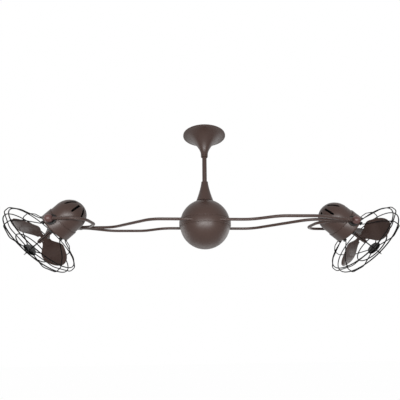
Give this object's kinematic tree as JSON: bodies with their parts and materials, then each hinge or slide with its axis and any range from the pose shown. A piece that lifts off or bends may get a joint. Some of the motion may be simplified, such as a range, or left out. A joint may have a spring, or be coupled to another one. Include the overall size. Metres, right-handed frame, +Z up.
{
  "type": "twin head ceiling fan",
  "caption": "Ceiling fan with caged fan heads on bent rod arms that turn about a globe on a downrod, in dark bronze.",
  "frame": {"origin": "centre of the canopy on the ceiling plane", "axes": "+Z up into the ceiling; +X along the arms towards the right head; -Y towards the viewer of the picture"},
  "size_m": [1.34, 0.2863, 0.5251],
  "materials": {
    "bronze_paint": "satin dark bronze powder coat",
    "copper_bronze": "satin reddish bronze powder coat",
    "dark_wire": "satin dark bronze coat on steel wire",
    "dark_blade": "satin dark bronze coat on sheet metal",
    "black_plastic": "matte moulded",
    "ivory_plastic": "matte moulded",
    "zinc_steel": "zinc plated",
    "core_steel": "stacked laminations",
    "copper_tracks": "bright copper"
  },
  "bodies": {
    "mount": {"ceiling_bracket": "zinc_steel", "hanger_block": "zinc_steel", "hanger_pin": "zinc_steel", "terminal_block": "ivory_plastic", "canopy": "bronze_paint", "canopy_collar": "bronze_paint", "downrod": "bronze_paint", "cone_cover": "bronze_paint", "spindle": "zinc_steel", "spindle_nut": "zinc_steel", "slip_ring": "copper_tracks"},
    "rotor": {"hub_bearings": "zinc_steel", "arm_hub": "zinc_steel", "brush_block": "black_plastic", "globe_top": "bronze_paint", "globe_bottom": "bronze_paint", "globe_belt": "bronze_paint", "front_arm": "bronze_paint", "back_arm": "bronze_paint", "right_yoke": "bronze_paint", "left_yoke": "bronze_paint", "arm_sockets": "bronze_paint", "pivot_balls": "copper_bronze"},
    "right_head": {"right_collar": "bronze_paint", "right_dome": "bronze_paint", "right_front_plate": "black_plastic", "right_stator": "core_steel", "right_windings": "copper_tracks", "right_bearings": "zinc_steel", "right_pivot_studs": "zinc_steel", "right_guard_loops": "dark_wire", "right_guard_rings": "dark_wire", "right_guard_disc": "black_plastic", "right_guard_clips": "black_plastic"},
    "right_fan": {"right_shaft": "zinc_steel", "right_rotor_core": "core_steel", "right_blade_hub": "dark_blade", "right_blade_1": "dark_blade", "right_blade_2": "dark_blade", "right_blade_3": "dark_blade", "right_hub_nut": "zinc_steel"},
    "left_head": {"left_collar": "bronze_paint", "left_dome": "bronze_paint", "left_front_plate": "black_plastic", "left_stator": "core_steel", "left_windings": "copper_tracks", "left_bearings": "zinc_steel", "left_pivot_studs": "zinc_steel", "left_guard_loops": "dark_wire", "left_guard_rings": "dark_wire", "left_guard_disc": "black_plastic", "left_guard_clips": "black_plastic"},
    "left_fan": {"left_shaft": "zinc_steel", "left_rotor_core": "core_steel", "left_blade_hub": "dark_blade", "left_blade_1": "dark_blade", "left_blade_2": "dark_blade", "left_blade_3": "dark_blade", "left_hub_nut": "zinc_steel"}
  },
  "joints": [
    {"name": "rotor_spin", "type": "hinge", "parent": "mount", "child": "rotor", "pos_m": [0, 0, -0.355], "axis": [0, 0, 1], "continuous": true},
    {"name": "right_tilt", "type": "hinge", "parent": "rotor", "child": "right_head", "pos_m": [0.505, 0, -0.355], "axis": [-0.0436, 0.999, 0], "range_deg": [-130, 50]},
    {"name": "right_fan_spin", "type": "hinge", "parent": "right_head", "child": "right_fan", "pos_m": [0.505, 0, -0.355], "axis": [0.7653, 0.0334, -0.6428], "continuous": true},
    {"name": "left_tilt", "type": "hinge", "parent": "rotor", "child": "left_head", "pos_m": [-0.505, 0, -0.355], "axis": [-0.0958, -0.9954, 0], "range_deg": [-134, 46]},
    {"name": "left_fan_spin", "type": "hinge", "parent": "left_head", "child": "left_fan", "pos_m": [-0.505, 0, -0.355], "axis": [-0.716, 0.0689, -0.6947], "continuous": true}
  ]
}
